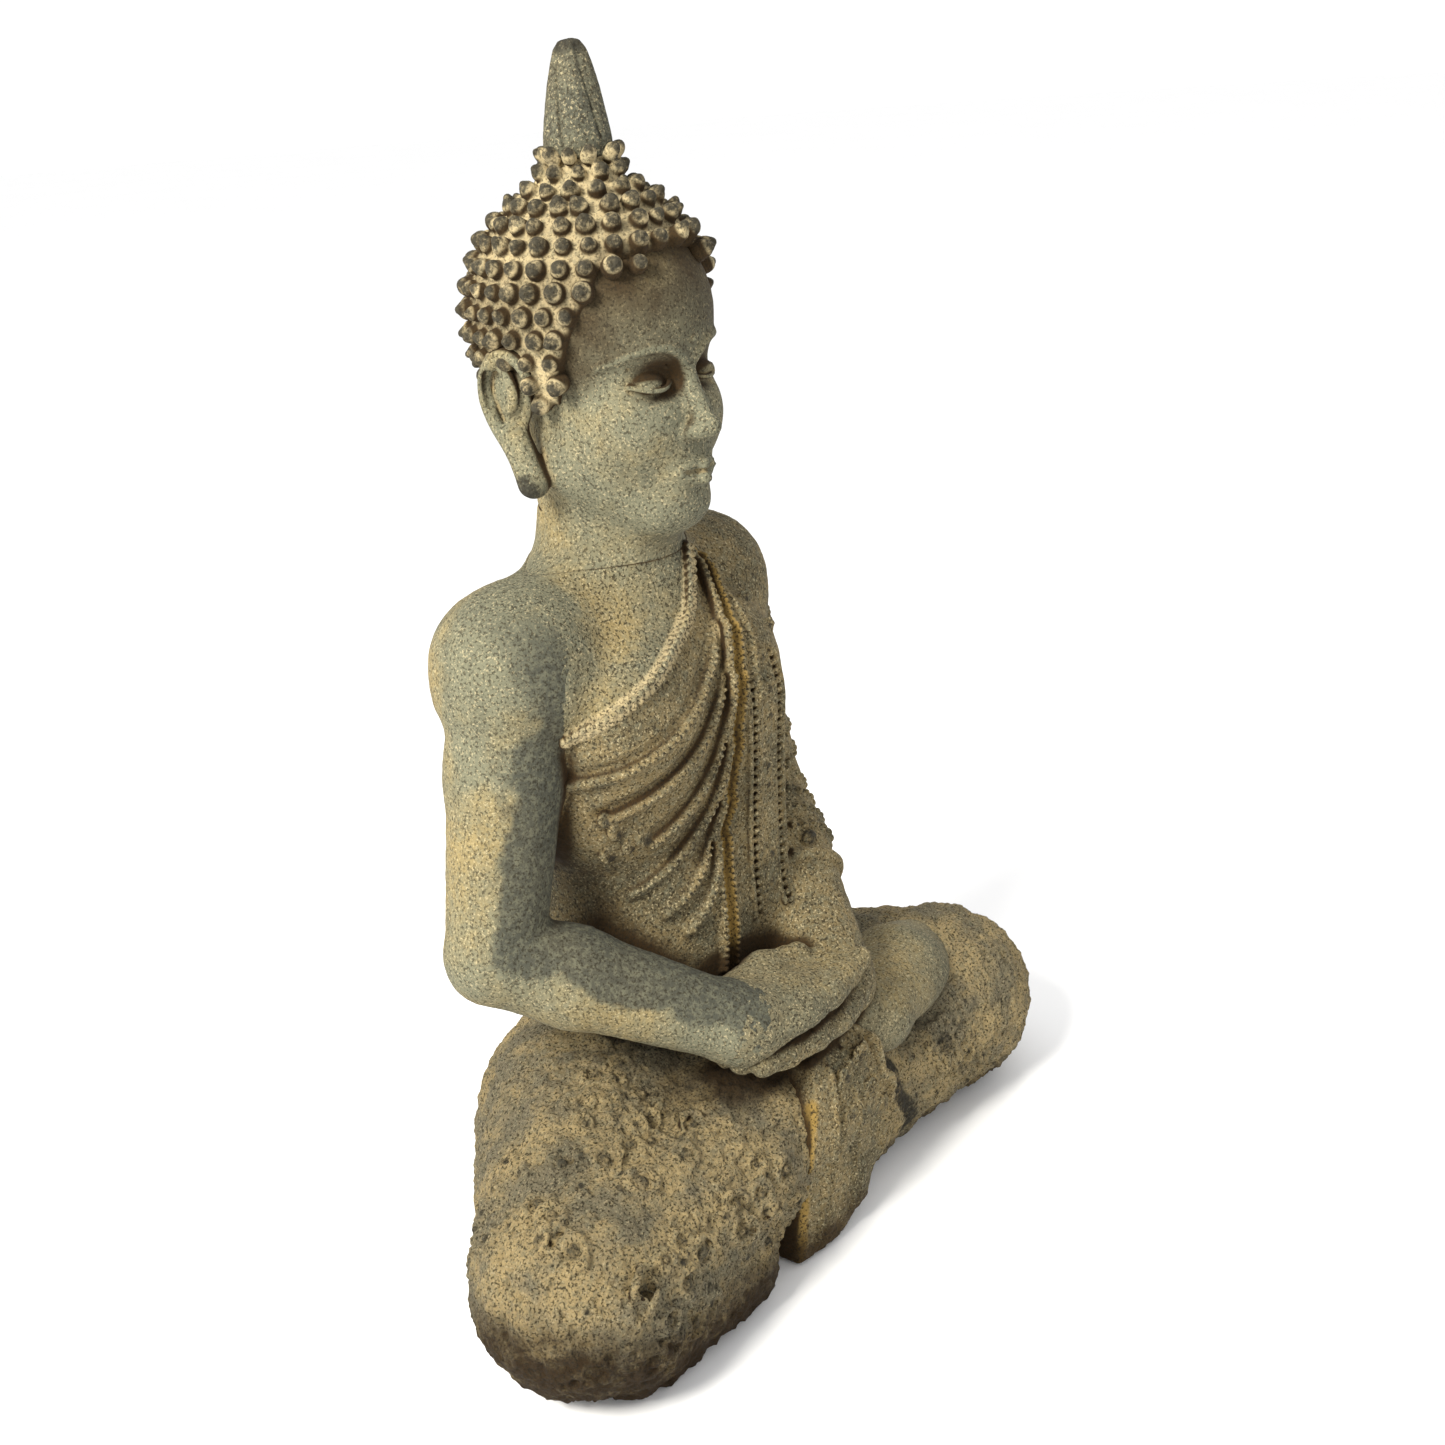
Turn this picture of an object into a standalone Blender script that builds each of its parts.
"""Seated buddha statue of cast stone, as piece-moulded sections on dowels and mortar beds.

Metres, +Z up. The statue faces -Y and its left side is +X. The origin is on the ground,
under the middle of the whole statue. Sizes are measured on the statue's own axis, and the
empty that carries every piece brings the middle of the statue to the origin at the end.
"""
import math

import bmesh
import bpy
from mathutils import Matrix, Vector

# --- driving sizes ---------------------------------------------------------------------
SEAT_HEIGHT = 0.094          # ground to the waist joint
TORSO_LENGTH = 0.209         # waist joint to neck joint
HEAD_LENGTH = 0.156          # neck joint to the seat of the finial
FINIAL_LENGTH = 0.041
BED = 0.003                  # height of each level joint, filled by its mortar bed
GAP = 0.0003                 # clearance between touching pieces
SPINE_Y = 0.010              # the spine's axis; every reach is measured forward from y = 0

KNEE_SPREAD = 0.138
KNEE_REACH = 0.056           # how far the knees lie in front of the spine
KNEE_RADIUS = 0.043
HIP_SPREAD = 0.045
HIP_RADIUS = 0.053
SEAT_BACK = 0.008            # how far the seat lies behind the spine
SHIN_REACH = 0.054           # shins, measured at the middle of the statue
SHIN_RADIUS = 0.031
LAP_REST = 0.092             # height of the robe in the lap, on which the hands lie

WAIST_HALF_WIDTH = 0.056
WAIST_HALF_DEPTH = 0.047
CHEST_HALF_WIDTH = 0.067
CHEST_HALF_DEPTH = 0.046
SHOULDER_SPREAD = 0.064
SHOULDER_DROP = 0.030        # neck joint down to the middle of the shoulder
SHOULDER_RADIUS = 0.027
SHOULDER_BACK = 0.004        # how far the shoulders lie behind the spine
SHOULDER_JOINT = 0.060       # distance of the flat arm joint from the middle

ELBOW_SPREAD = 0.096
LEFT_TUCK = 0.007            # how much closer to the body the left elbow is held
ELBOW_RISE = 0.068           # above the waist joint
ELBOW_RADIUS = 0.0235
WRIST_SPREAD = 0.036
WRIST_REACH = 0.066
WRIST_RADIUS = 0.0175
SLEEVE = 0.001               # thickness of the robe on the left arm

HAND_LENGTH = 0.072
HAND_HALF_WIDTH = 0.018
HAND_HALF_THICKNESS = 0.0085
HAND_TURN = 0.006            # how far forward its fingertips point
FOOT_LENGTH = 0.068
FOOT_RADIUS = 0.016
FOOT_TURN = 0.012            # how far back its toes point
FOOT_DROP = 0.010            # how far its toes lie below the heel
APRON_HALF_WIDTH = 0.036
APRON_HALF_DEPTH = 0.014

SKULL_HALF_WIDTH = 0.042     # over the temples, without the curls
CURL_DEPTH = 0.006           # thickness of the cap of curls
NECK_RADIUS = 0.0260
NECK_BACK = 0.003            # how far the neck lies behind the spine axis
CROWN_RADIUS = 0.018         # flat top of the cap, under the finial
FINIAL_RADIUS = 0.0128
EAR_LENGTH = 0.044
EAR_RADIUS = 0.0065

DOWEL_LENGTH = 0.050
SHOULDER_DOWEL_LENGTH = 0.030
DOWEL_RADIUS = 0.0030
FINIAL_DOWEL_LENGTH = 0.030
FINIAL_DOWEL_RADIUS = 0.0020
DOWEL_CLEARANCE = 0.0005     # all round, and at each end

# --- places worked out from them ----------------------------------------------------------
WAIST_Z = SEAT_HEIGHT
NECK_Z = WAIST_Z + TORSO_LENGTH
CROWN_Z = NECK_Z + HEAD_LENGTH

HEAD_HEIGHT = 3.0 * SKULL_HALF_WIDTH          # chin to vertex: half as long again as it is wide
VERTEX_Z = CROWN_Z - 0.35 * SKULL_HALF_WIDTH
CHIN_Z = VERTEX_Z - HEAD_HEIGHT
THIRD = 0.27 * HEAD_HEIGHT                    # hairline, brow, nose base and chin lie even thirds apart
NOSE_Z = CHIN_Z + THIRD
BROW_Z = NOSE_Z + THIRD
HAIRLINE_Z = BROW_Z + THIRD

WHOLE = 1.0                                   # side of a cutting block, larger than the statue
FINE, COARSE = 0.0022, 0.0035                 # voxel sizes of small and large castings

STONE = (0.36, 0.33, 0.26, 1.0)
MORTAR = (0.45, 0.42, 0.36, 1.0)
STEEL = (0.42, 0.42, 0.43, 1.0)


# --- scene and materials --------------------------------------------------------------
def clear_scene():
    for thing in list(bpy.data.objects):
        bpy.data.objects.remove(thing, do_unlink=True)


def collection(name):
    group = bpy.data.collections.new(name)
    bpy.context.scene.collection.children.link(group)
    return group


def material(name, colour, roughness, metallic=0.0):
    mat = bpy.data.materials.new(name)
    mat.use_nodes = True
    shader = mat.node_tree.nodes["Principled BSDF"]
    shader.inputs["Base Color"].default_value = colour
    shader.inputs["Roughness"].default_value = roughness
    shader.inputs["Metallic"].default_value = metallic
    return mat


# --- solids -----------------------------------------------------------------------------
def add_object(name, bm, group):
    bmesh.ops.recalc_face_normals(bm, faces=bm.faces)
    mesh = bpy.data.meshes.new(name)
    bm.to_mesh(mesh)
    bm.free()
    thing = bpy.data.objects.new(name, mesh)
    group.objects.link(thing)
    return thing


def ball(bm, centre, radii):
    place = Matrix.Translation(centre) @ Matrix.Diagonal((*radii, 1.0))
    bmesh.ops.create_uvsphere(bm, u_segments=32, v_segments=16, radius=1.0, matrix=place)


def limb(bm, start, end, start_radius, end_radius):
    """A round-ended cone: the convex hull of a ball at each end."""
    part = bmesh.new()
    ball(part, start, (start_radius,) * 3)
    ball(part, end, (end_radius,) * 3)
    hull = bmesh.ops.convex_hull(part, input=part.verts)
    bmesh.ops.delete(part, geom=hull["geom_interior"], context="VERTS")
    mesh = bpy.data.meshes.new("limb")
    part.to_mesh(mesh)
    part.free()
    bm.from_mesh(mesh)
    bpy.data.meshes.remove(mesh)


def block(low, high):
    bm = bmesh.new()
    middle = (Vector(low) + Vector(high)) / 2
    size = Vector(high) - Vector(low)
    place = Matrix.Translation(middle) @ Matrix.Diagonal((*size, 1.0))
    bmesh.ops.create_cube(bm, size=1.0, matrix=place)
    return add_object("block", bm, CUTTERS)


def rod(name, centre, radius, length, group, axis="Z", segments=16, stretch=1.0):
    bm = bmesh.new()
    turn = Matrix.Rotation(math.radians(90), 4, "Y") if axis == "X" else Matrix.Identity(4)
    place = Matrix.Translation(centre) @ turn @ Matrix.Diagonal((1.0, stretch, 1.0, 1.0))
    bmesh.ops.create_cone(bm, cap_ends=True, segments=segments, radius1=radius, radius2=radius,
                          depth=length, matrix=place)
    return add_object(name, bm, group)


# --- modifiers ---------------------------------------------------------------------------
def apply(thing):
    """Replaces the mesh by its evaluated shape and takes the modifiers off."""
    depsgraph = bpy.context.evaluated_depsgraph_get()
    mesh = bpy.data.meshes.new_from_object(thing.evaluated_get(depsgraph))
    thing.modifiers.clear()
    thing.data = mesh


def fuse(name, bm, voxel, faces):
    """Melts overlapping shapes into one casting with about that many triangles."""
    thing = add_object(name, bm, PARTS)
    remesh = thing.modifiers.new("melt", "REMESH")
    remesh.mode = "VOXEL"
    remesh.voxel_size = voxel
    smooth = thing.modifiers.new("smooth", "SMOOTH")
    smooth.factor = 0.5
    smooth.iterations = 6
    apply(thing)
    thin = thing.modifiers.new("thin", "DECIMATE")
    thin.ratio = faces / (2 * len(thing.data.polygons))
    thin.use_collapse_triangulate = True
    apply(thing)
    return thing


def cut(thing, cutter):
    carve = thing.modifiers.new("cut", "BOOLEAN")
    carve.operation = "DIFFERENCE"
    carve.solver = "EXACT"
    carve.object = cutter
    apply(thing)
    bpy.data.objects.remove(cutter, do_unlink=True)
    keep_body(thing)


def grown(thing, amount):
    """A copy of a casting, larger all round, to cut its neighbour clear of it."""
    copy = bpy.data.objects.new("grown", thing.data.copy())
    CUTTERS.objects.link(copy)
    swell = copy.modifiers.new("swell", "DISPLACE")
    swell.strength = amount
    swell.mid_level = 0.0
    apply(copy)
    return copy


def keep_body(thing):
    """Keeps the largest connected body, without the slivers that a cut leaves."""
    bm = bmesh.new()
    bm.from_mesh(thing.data)
    left, bodies = set(bm.verts), []
    while left:
        body, edge = set(), [left.pop()]
        while edge:
            vert = edge.pop()
            body.add(vert)
            near = [e.other_vert(vert) for e in vert.link_edges]
            fresh = [v for v in near if v in left]
            left.difference_update(fresh)
            edge.extend(fresh)
        bodies.append(body)
    bodies.sort(key=len)
    stray = [v for body in bodies[:-1] for v in body]
    bmesh.ops.delete(bm, geom=stray, context="VERTS")
    bm.to_mesh(thing.data)
    bm.free()


def clear_of(thing, *neighbours):
    """Cuts a casting back from its neighbours, and then a little more for the clearance."""
    for neighbour in neighbours:
        for distance in (0, 2 * GAP):
            cut(thing, grown(neighbour, distance))


def level_cut(thing, height, keep):
    """Cuts a casting flat at a height, keeping what is above or below it."""
    low = (-WHOLE, -WHOLE, -WHOLE if keep == "above" else height)
    high = (WHOLE, WHOLE, height if keep == "above" else WHOLE)
    cut(thing, block(low, high))


# --- lower castings -----------------------------------------------------------------------
def make_lap_base():
    """Seat, thighs, shins and knees on a broad flat underside."""
    bm = bmesh.new()
    hip_z, knee_z = 0.9 * HIP_RADIUS, 0.97 * KNEE_RADIUS
    ball(bm, (0, SPINE_Y + SEAT_BACK, 0.5 * SEAT_HEIGHT),
         (1.5 * HIP_RADIUS, 1.1 * HIP_RADIUS, 0.62 * SEAT_HEIGHT))
    ball(bm, (0, -0.3 * SHIN_REACH, 0), (0.9 * KNEE_SPREAD, 1.05 * SHIN_REACH, 0.8 * KNEE_RADIUS))
    ball(bm, (0, -0.9 * SHIN_REACH, 0.7 * LAP_REST), (1.3 * HIP_SPREAD, 0.65 * SHIN_REACH, 0.3 * LAP_REST))
    right_knee, left_knee = (Vector((side * KNEE_SPREAD, -KNEE_REACH, knee_z)) for side in (-1, 1))
    for side, knee in ((-1, right_knee), (1, left_knee)):
        limb(bm, (side * HIP_SPREAD, SPINE_Y, hip_z), knee, HIP_RADIUS, KNEE_RADIUS)
    right_ankle = (0.3 * KNEE_SPREAD, -SHIN_REACH, 1.5 * SHIN_RADIUS)
    left_ankle = (-0.2 * KNEE_SPREAD, -SHIN_REACH, 0.9 * SHIN_RADIUS)
    limb(bm, right_knee, right_ankle, 0.95 * KNEE_RADIUS, SHIN_RADIUS)
    limb(bm, left_knee, left_ankle, 0.9 * KNEE_RADIUS, SHIN_RADIUS)
    lap = fuse("lap_base", bm, COARSE, 2000)
    level_cut(lap, 0.0, "above")
    recess = rod("recess", (0, SPINE_Y, WAIST_Z + WHOLE / 2), 1.06 * WAIST_HALF_WIDTH, WHOLE, CUTTERS,
                 segments=32, stretch=WAIST_HALF_DEPTH / WAIST_HALF_WIDTH)
    cut(lap, recess)
    return lap


def make_robe_apron(lap):
    """The robe that fans out from the lap, over the shins, to the ground."""
    bm = bmesh.new()
    front = SHIN_REACH + SHIN_RADIUS - 0.2 * APRON_HALF_DEPTH
    top = Vector((0.004, -SHIN_REACH, LAP_REST - 1.2 * APRON_HALF_DEPTH))
    for side in (-1, -0.33, 0.33, 1):
        over = Vector((0.5 * side * APRON_HALF_WIDTH, -front, 0.5 * LAP_REST))
        foot = Vector((0.75 * side * APRON_HALF_WIDTH, -front, 0.0))
        limb(bm, top, over, 0.8 * APRON_HALF_DEPTH, 0.8 * APRON_HALF_DEPTH)
        limb(bm, over, foot, 0.8 * APRON_HALF_DEPTH, APRON_HALF_DEPTH)
    apron = fuse("robe_apron", bm, FINE, 500)
    level_cut(apron, 0.0, "above")
    clear_of(apron, lap)
    return apron


def make_instep(lap, apron):
    bm = bmesh.new()
    heel = Vector((HIP_SPREAD, -SHIN_REACH, LAP_REST - 0.4 * FOOT_RADIUS))
    limb(bm, heel, heel + Vector((FOOT_LENGTH, FOOT_TURN, -FOOT_DROP)), FOOT_RADIUS, 0.8 * FOOT_RADIUS)
    instep = fuse("instep", bm, FINE, 350)
    clear_of(instep, lap, apron)
    return instep


# --- torso and arms -------------------------------------------------------------------------
def shoulder(side):
    return Vector((side * SHOULDER_SPREAD, SPINE_Y + SHOULDER_BACK, NECK_Z - SHOULDER_DROP))


def make_torso(lap):
    bm = bmesh.new()
    waist = (0, SPINE_Y, WAIST_Z + 0.12 * TORSO_LENGTH)
    chest = (0, 0.6 * SPINE_Y, WAIST_Z + 0.63 * TORSO_LENGTH)
    ball(bm, waist, (WAIST_HALF_WIDTH, WAIST_HALF_DEPTH, 0.45 * TORSO_LENGTH))
    ball(bm, chest, (CHEST_HALF_WIDTH, CHEST_HALF_DEPTH, 0.34 * TORSO_LENGTH))
    for side in (-1, 1):
        root = Vector((0.6 * side * NECK_RADIUS, SPINE_Y + 1.5 * SHOULDER_BACK, NECK_Z - 0.5 * SHOULDER_DROP))
        limb(bm, root, shoulder(side), 0.75 * SHOULDER_RADIUS, 0.97 * SHOULDER_RADIUS)
    neck_y = SPINE_Y + NECK_BACK
    limb(bm, (0, neck_y, NECK_Z - 1.5 * NECK_RADIUS), (0, neck_y, NECK_Z + 0.8 * NECK_RADIUS),
         1.35 * NECK_RADIUS, 1.04 * NECK_RADIUS)
    torso = fuse("torso", bm, COARSE, 1400)
    level_cut(torso, WAIST_Z + BED, "above")
    level_cut(torso, NECK_Z - BED, "below")
    armpit = NECK_Z - SHOULDER_DROP - SHOULDER_RADIUS
    for side in (-1, 1):
        near, far = sorted((side * (SHOULDER_JOINT - GAP / 2), side * WHOLE))
        cut(torso, block((near, -WHOLE, armpit), (far, WHOLE, WHOLE)))
    clear_of(torso, lap)
    return torso


def make_arm(name, side, sleeve, neighbours):
    """Upper arm and forearm. The sleeve thickens the arm that the robe covers."""
    spread = ELBOW_SPREAD - (LEFT_TUCK if side > 0 else 0)
    elbow = Vector((side * spread, 0.5 * SPINE_Y, WAIST_Z + ELBOW_RISE))
    wrist = Vector((side * WRIST_SPREAD, -WRIST_REACH, hand_height(side) + 0.5 * WRIST_RADIUS))
    bm = bmesh.new()
    limb(bm, shoulder(side), elbow, SHOULDER_RADIUS + sleeve, ELBOW_RADIUS + sleeve)
    limb(bm, elbow, wrist, ELBOW_RADIUS + sleeve, WRIST_RADIUS + sleeve)
    arm = fuse(name, bm, FINE, 700)
    armpit = NECK_Z - SHOULDER_DROP - SHOULDER_RADIUS
    near, far = sorted((side * (SHOULDER_JOINT + GAP / 2), -side * WHOLE))
    cut(arm, block((near, -WHOLE, armpit), (far, WHOLE, WHOLE)))
    clear_of(arm, *neighbours)
    return arm


def hand_height(side):
    """The left hand lies on the lap and the right hand lies on the left."""
    return LAP_REST + (2.7 if side < 0 else 0.9) * HAND_HALF_THICKNESS


def make_hand(name, side, neighbours):
    """A flat hand, palm up. Its fingers point to the other side."""
    bm = bmesh.new()
    wrist = Vector((side * WRIST_SPREAD, -WRIST_REACH, hand_height(side)))
    reach = Vector((-side * HAND_LENGTH, -HAND_TURN, 0.0))
    for row in (-0.6, -0.2, 0.2, 0.6):
        across = Vector((0, row * HAND_HALF_WIDTH, 0))
        limb(bm, wrist + across, wrist + across + reach, HAND_HALF_THICKNESS, 0.75 * HAND_HALF_THICKNESS)
    thumb = wrist + Vector((0, HAND_HALF_WIDTH, 0.3 * HAND_HALF_THICKNESS))
    limb(bm, thumb, thumb + 0.6 * reach, HAND_HALF_THICKNESS, 0.7 * HAND_HALF_THICKNESS)
    hand = fuse(name, bm, FINE, 400)
    clear_of(hand, *neighbours)
    return hand


# --- head, cap and finial ----------------------------------------------------------------------
def make_head():
    """Neck, ears and a calm, regular face, its features at even thirds."""
    width = SKULL_HALF_WIDTH
    face_y = SPINE_Y - 1.15 * width
    bm = bmesh.new()
    ball(bm, (0, SPINE_Y - 0.1 * width, VERTEX_Z - 1.05 * width), (width, 1.12 * width, 1.02 * width))
    ball(bm, (0, SPINE_Y - 0.22 * width, NOSE_Z + 0.2 * THIRD), (0.84 * width, 0.93 * width, 1.36 * THIRD))
    limb(bm, (0, face_y + 0.2 * width, BROW_Z), (0, face_y, NOSE_Z + 0.15 * THIRD),
         0.10 * width, 0.16 * width)
    ball(bm, (0, face_y + 0.34 * width, CHIN_Z + 0.22 * THIRD), (0.30 * width, 0.24 * width, 0.24 * THIRD))
    for side in (-1, 1):
        top = Vector((side * 0.98 * width, SPINE_Y + 0.1 * width, BROW_Z))
        limb(bm, top, top + Vector((0, 0, -EAR_LENGTH)), EAR_RADIUS, 0.8 * EAR_RADIUS)
    neck_y = SPINE_Y + NECK_BACK
    limb(bm, (0, neck_y, NECK_Z - 0.8 * NECK_RADIUS), (0, neck_y, NOSE_Z), 1.04 * NECK_RADIUS, NECK_RADIUS)
    head = fuse("head", bm, FINE, 1400)
    level_cut(head, NECK_Z, "above")
    return head


def make_curl_cap(head):
    """The cap of curls over the skull, with its cone, cut along a plane from brow to nape."""
    outer = SKULL_HALF_WIDTH + CURL_DEPTH
    centre = Vector((0, SPINE_Y, VERTEX_Z - 1.05 * SKULL_HALF_WIDTH))
    bm = bmesh.new()
    ball(bm, centre, (outer, 1.10 * outer, 1.02 * outer))
    cone_foot = Vector((0, SPINE_Y, VERTEX_Z - CROWN_RADIUS))
    limb(bm, cone_foot, (0, SPINE_Y, CROWN_Z), 1.7 * CROWN_RADIUS, CROWN_RADIUS)
    cap = fuse("curl_cap", bm, FINE, 1100)
    level_cut(cap, CROWN_Z - BED, "below")
    hairline = Vector((0, SPINE_Y - 1.1 * outer, HAIRLINE_Z))
    nape = Vector((0, SPINE_Y + 1.1 * outer, NOSE_Z))
    slope = math.atan2(nape.z - hairline.z, nape.y - hairline.y)
    under = block((-WHOLE, -WHOLE, -2 * WHOLE), (WHOLE, WHOLE, 0))
    under.data.transform(Matrix.Translation((hairline + nape) / 2) @ Matrix.Rotation(slope, 4, "X"))
    cut(cap, under)
    clear_of(cap, head)
    return cap


def make_finial():
    """A bud: widest a quarter of the way up, tucked in at its foot and pointed at the top."""
    outline = ((0.0, 1.0), (0.18, 0.96), (0.42, 0.82), (0.70, 0.60), (0.92, 0.32),
               (1.0, 0.16), (0.97, 0.08), (0.84, 0.0), (0.0, 0.0))
    bm = bmesh.new()
    points = [bm.verts.new((r * FINIAL_RADIUS, 0, z * FINIAL_LENGTH)) for r, z in outline]
    for first, second in zip(points, points[1:]):
        bm.edges.new((first, second))
    bmesh.ops.translate(bm, verts=bm.verts, vec=(0, SPINE_Y, CROWN_Z))
    bmesh.ops.spin(bm, geom=bm.verts[:] + bm.edges[:], cent=(0, SPINE_Y, 0), axis=(0, 0, 1),
                   angle=2 * math.pi, steps=24)
    bmesh.ops.remove_doubles(bm, verts=bm.verts, dist=0.00005)
    return add_object("finial", bm, PARTS)


# --- dowels and beds ---------------------------------------------------------------------------
def make_dowel(name, centre, radius, length, hosts, axis="Z"):
    """A steel dowel, with a clear bore for it in each piece that it passes through."""
    for host in hosts:
        bore = rod("bore", centre, radius + DOWEL_CLEARANCE, length + 2 * DOWEL_CLEARANCE, CUTTERS, axis)
        cut(host, bore)
    return rod(name, centre, radius, length, PARTS, axis)


def make_bed(name, top, radius, stretch=1.0):
    """The mortar in a level joint that ends at the height of top."""
    centre = (0, SPINE_Y, top - BED / 2)
    return rod(name, centre, radius, BED - 2 * GAP, PARTS, segments=32, stretch=stretch)


def assemble():
    lap = make_lap_base()
    apron = make_robe_apron(lap)
    instep = make_instep(lap, apron)
    torso = make_torso(lap)
    left_hand = make_hand("left_hand", 1, (lap, apron, instep, torso))
    right_hand = make_hand("right_hand", -1, (lap, apron, instep, torso, left_hand))
    below = (torso, lap, left_hand, right_hand, apron, instep)
    right_arm = make_arm("right_arm", -1, 0.0, below)
    left_arm = make_arm("left_arm", 1, SLEEVE, below)
    head = make_head()
    cap = make_curl_cap(head)
    finial = make_finial()

    waist_bed = make_bed("waist_bed", WAIST_Z + BED, 0.9 * WAIST_HALF_WIDTH,
                         WAIST_HALF_DEPTH / WAIST_HALF_WIDTH)
    neck_bed = make_bed("neck_bed", NECK_Z, 0.9 * NECK_RADIUS)
    finial_bed = make_bed("finial_bed", CROWN_Z, 0.75 * FINIAL_RADIUS)
    for side, word in ((-1, "right"), (1, "left")):
        place = (side * 0.4 * WAIST_HALF_WIDTH, SPINE_Y, WAIST_Z + BED / 2)
        make_dowel("waist_dowel_" + word, place, DOWEL_RADIUS, DOWEL_LENGTH, (lap, torso, waist_bed))
    make_dowel("neck_dowel", (0, SPINE_Y, NECK_Z - BED / 2), DOWEL_RADIUS, DOWEL_LENGTH,
               (torso, head, neck_bed))
    make_dowel("finial_dowel", (0, SPINE_Y, CROWN_Z - BED / 2), FINIAL_DOWEL_RADIUS, FINIAL_DOWEL_LENGTH,
               (cap, head, finial, finial_bed))
    for side, word, arm in ((-1, "right", right_arm), (1, "left", left_arm)):
        joint = shoulder(side)
        joint.x = side * SHOULDER_JOINT
        make_dowel("shoulder_dowel_" + word, joint, DOWEL_RADIUS, SHOULDER_DOWEL_LENGTH, (torso, arm), "X")


def piece_material(name):
    if "dowel" in name:
        return material(name, STEEL, 0.45, 1.0)
    return material(name, MORTAR if "bed" in name else STONE, 0.9)


def finish():
    """Gives each piece its material and centres the statue on the origin."""
    corners = []
    for thing in PARTS.objects:
        thing.data.materials.clear()
        thing.data.materials.append(piece_material(thing.name))
        thing.data.shade_smooth()
        thing.data.set_sharp_from_angle(angle=math.radians(40))
        corners += [Vector(corner) for corner in thing.bound_box]
    centre = bpy.data.objects.new("statue", None)
    for thing in PARTS.objects:
        thing.parent = centre
    PARTS.objects.link(centre)
    for axis in (0, 1):
        values = [corner[axis] for corner in corners]
        centre.location[axis] = -(min(values) + max(values)) / 2


clear_scene()
PARTS = collection("buddha_statue")
CUTTERS = collection("cutters")
assemble()
finish()
